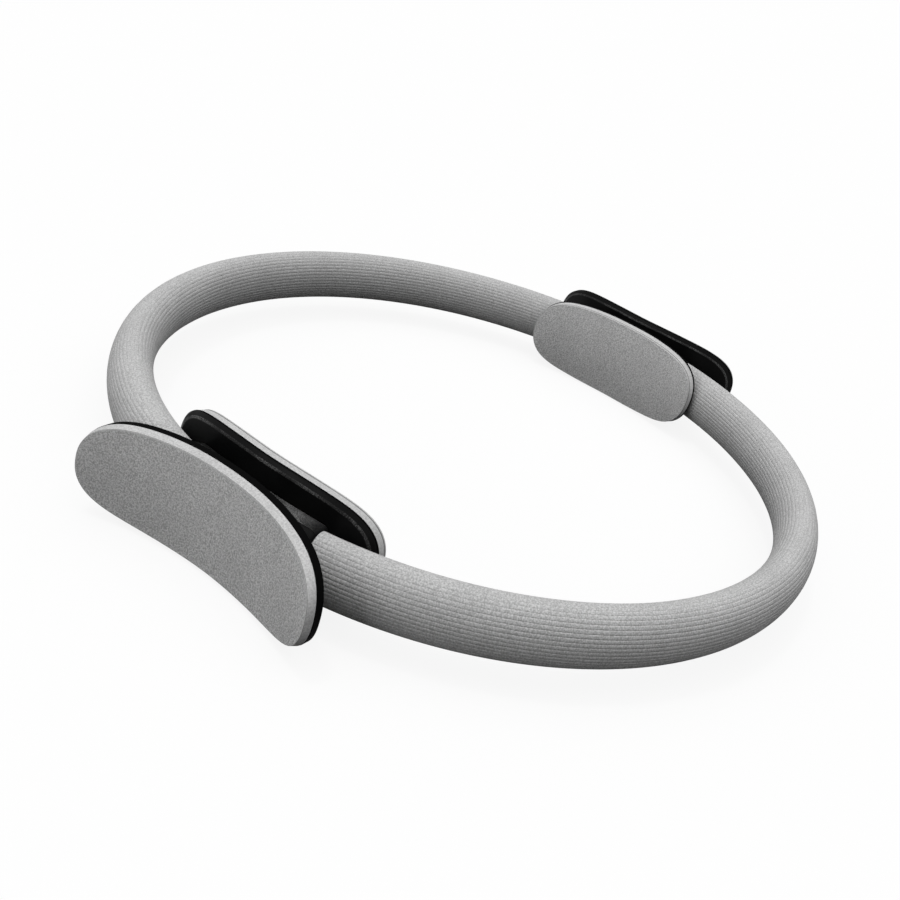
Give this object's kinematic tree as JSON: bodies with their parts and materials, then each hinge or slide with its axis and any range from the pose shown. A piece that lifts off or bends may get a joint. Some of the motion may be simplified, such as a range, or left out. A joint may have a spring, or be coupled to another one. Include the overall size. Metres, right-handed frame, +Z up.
{
  "type": "pilates ring",
  "caption": "Springy steel hoop in a ribbed foam sleeve with padded handles at its opposite ends, squeezed between the hands or knees for pilates.",
  "frame": {"origin": "on the surface that the ring lies on, under the middle of the ring", "axes": "+X from the near handle to the far handle, +Y across the ring to its left side, +Z up"},
  "size_m": [0.4212, 0.3802, 0.0512],
  "materials": {
    "sleeve_foam": "matte ribbed foam, light grey",
    "pad_foam": "matte fine-grained foam, light grey",
    "shell_plastic": "black moulding, half gloss",
    "spring_steel": "blued spring steel",
    "screw_steel": "zinc-plated steel"
  },
  "bodies": {
    "near_handle": {"near_outer_shell": "shell_plastic", "near_inner_shell": "shell_plastic", "near_outer_pad": "pad_foam", "near_inner_pad": "pad_foam", "near_splice_strap": "spring_steel", "near_handle_screw_1": "screw_steel", "near_handle_screw_2": "screw_steel", "near_handle_screw_3": "screw_steel", "near_handle_screw_4": "screw_steel", "near_left_sleeve_end": "sleeve_foam", "near_left_spring_end": "spring_steel", "near_right_sleeve_end": "sleeve_foam", "near_right_spring_end": "spring_steel"},
    "far_handle": {"far_outer_shell": "shell_plastic", "far_inner_shell": "shell_plastic", "far_outer_pad": "pad_foam", "far_inner_pad": "pad_foam", "far_splice_strap": "spring_steel", "far_handle_screw_1": "screw_steel", "far_handle_screw_2": "screw_steel", "far_handle_screw_3": "screw_steel", "far_handle_screw_4": "screw_steel", "far_left_sleeve_end": "sleeve_foam", "far_left_spring_end": "spring_steel"},
    "right_far_end": {"far_right_sleeve_end": "sleeve_foam", "far_right_spring_end": "spring_steel"},
    "left_near_stretch": {"near_left_sleeve": "sleeve_foam", "near_left_spring": "spring_steel"},
    "left_side_stretch": {"left_side_sleeve": "sleeve_foam", "left_side_spring": "spring_steel"},
    "left_far_stretch": {"far_left_sleeve": "sleeve_foam", "far_left_spring": "spring_steel"},
    "right_near_stretch": {"near_right_sleeve": "sleeve_foam", "near_right_spring": "spring_steel"},
    "right_side_stretch": {"right_side_sleeve": "sleeve_foam", "right_side_spring": "spring_steel"},
    "right_far_stretch": {"far_right_sleeve": "sleeve_foam", "far_right_spring": "spring_steel"}
  },
  "joints": [
    {"name": "squeeze", "type": "hinge", "parent": "near_handle", "child": "left_near_stretch", "pos_m": [-0.17102, 0.0655, 0.0256], "axis": [0, 0, 1], "range_deg": [-4, 17], "stiffness_Nm_per_rad": 75},
    {"name": "left_near_side_bend", "type": "hinge", "parent": "left_near_stretch", "child": "left_side_stretch", "pos_m": [-0.07763, 0.16259, 0.0256], "axis": [0, 0, -1], "range_deg": [-4, 17]},
    {"name": "left_far_side_bend", "type": "hinge", "parent": "left_side_stretch", "child": "left_far_stretch", "pos_m": [0.07763, 0.16259, 0.0256], "axis": [0, 0, -1], "range_deg": [-4, 17]},
    {"name": "far_handle_bend", "type": "hinge", "parent": "left_far_stretch", "child": "far_handle", "pos_m": [0.17102, 0.0655, 0.0256], "axis": [0, 0, 1], "range_deg": [-4, 17]},
    {"name": "right_near_handle_bend", "type": "hinge", "parent": "near_handle", "child": "right_near_stretch", "pos_m": [-0.17102, -0.0655, 0.0256], "axis": [0, 0, -1], "range_deg": [-4, 17]},
    {"name": "right_near_side_bend", "type": "hinge", "parent": "right_near_stretch", "child": "right_side_stretch", "pos_m": [-0.07763, -0.16259, 0.0256], "axis": [0, 0, 1], "range_deg": [-4, 17]},
    {"name": "right_far_side_bend", "type": "hinge", "parent": "right_side_stretch", "child": "right_far_stretch", "pos_m": [0.07763, -0.16259, 0.0256], "axis": [0, 0, 1], "range_deg": [-4, 17]},
    {"name": "right_far_end_bend", "type": "hinge", "parent": "right_far_stretch", "child": "right_far_end", "pos_m": [0.17102, -0.0655, 0.0256], "axis": [0, 0, -1], "range_deg": [-4, 17]}
  ],
  "couplings": [
    {"joint": "left_near_side_bend", "follows": "squeeze", "ratio": 1},
    {"joint": "left_far_side_bend", "follows": "squeeze", "ratio": 1},
    {"joint": "far_handle_bend", "follows": "squeeze", "ratio": 1},
    {"joint": "right_near_handle_bend", "follows": "squeeze", "ratio": 1},
    {"joint": "right_near_side_bend", "follows": "squeeze", "ratio": 1},
    {"joint": "right_far_side_bend", "follows": "squeeze", "ratio": 1},
    {"joint": "right_far_end_bend", "follows": "squeeze", "ratio": 1}
  ]
}
